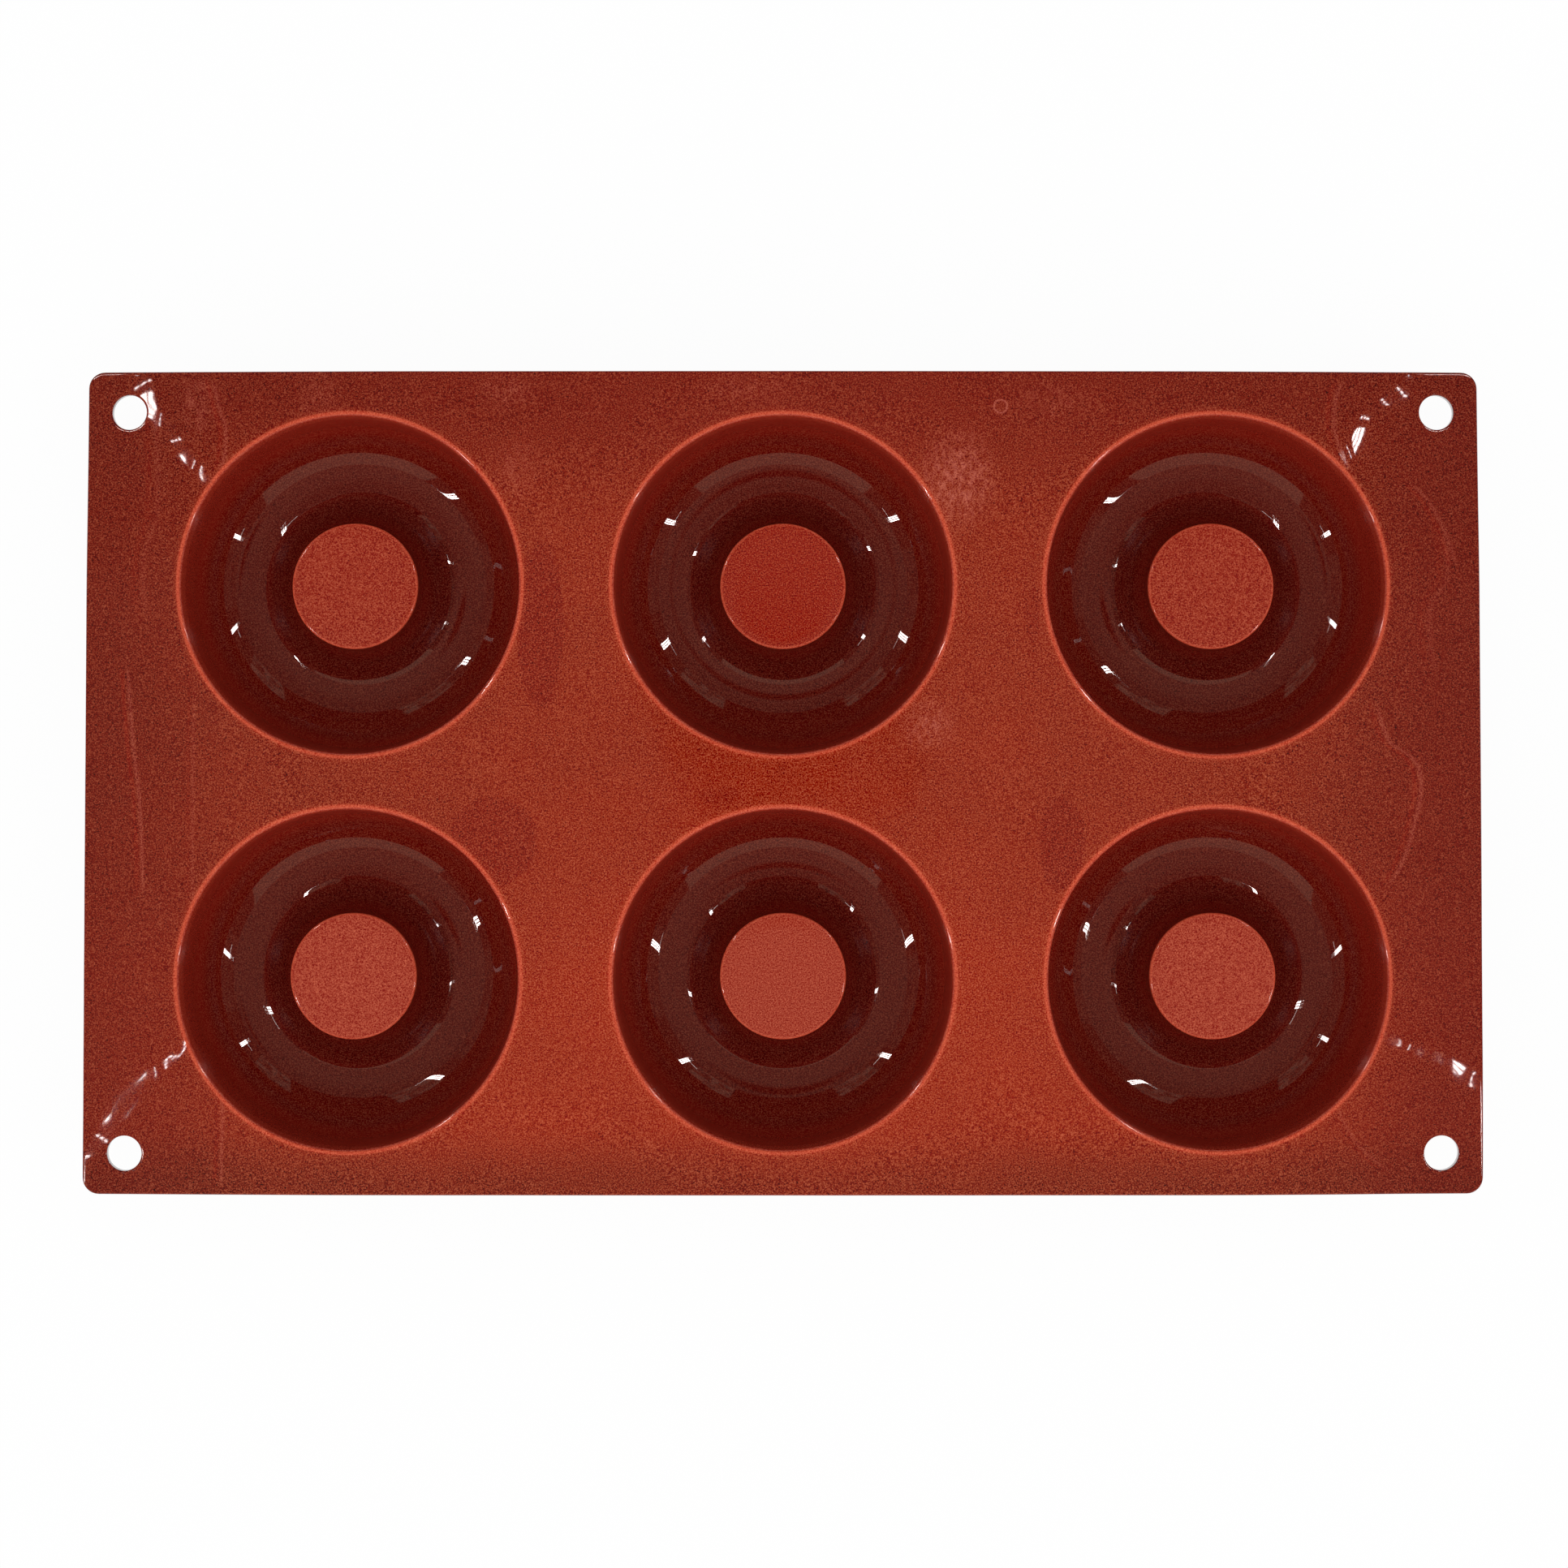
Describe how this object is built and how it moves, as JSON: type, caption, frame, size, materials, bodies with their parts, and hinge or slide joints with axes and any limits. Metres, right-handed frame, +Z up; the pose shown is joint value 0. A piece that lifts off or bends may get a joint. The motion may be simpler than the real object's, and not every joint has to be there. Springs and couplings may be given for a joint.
{
  "type": "silicone baba mould",
  "caption": "Flat silicone baking sheet with round ring-shaped cups, each a U-shaped groove around a low flat-topped plug, and a small hole near each corner.",
  "frame": {"origin": "middle of the sheet in plan, at the height of the cups' lowest circles", "axes": "+X along the row of cups, the sheet's long side; +Y along its short side; +Z up, out of the cups' open mouths"},
  "size_m": [0.3, 0.1764, 0.0246],
  "materials": {
    "silicone": "glossy terracotta-red silicone rubber, fine moulded surface"
  },
  "bodies": {
    "root": {"baba_mould": "silicone"}
  },
  "joints": []
}
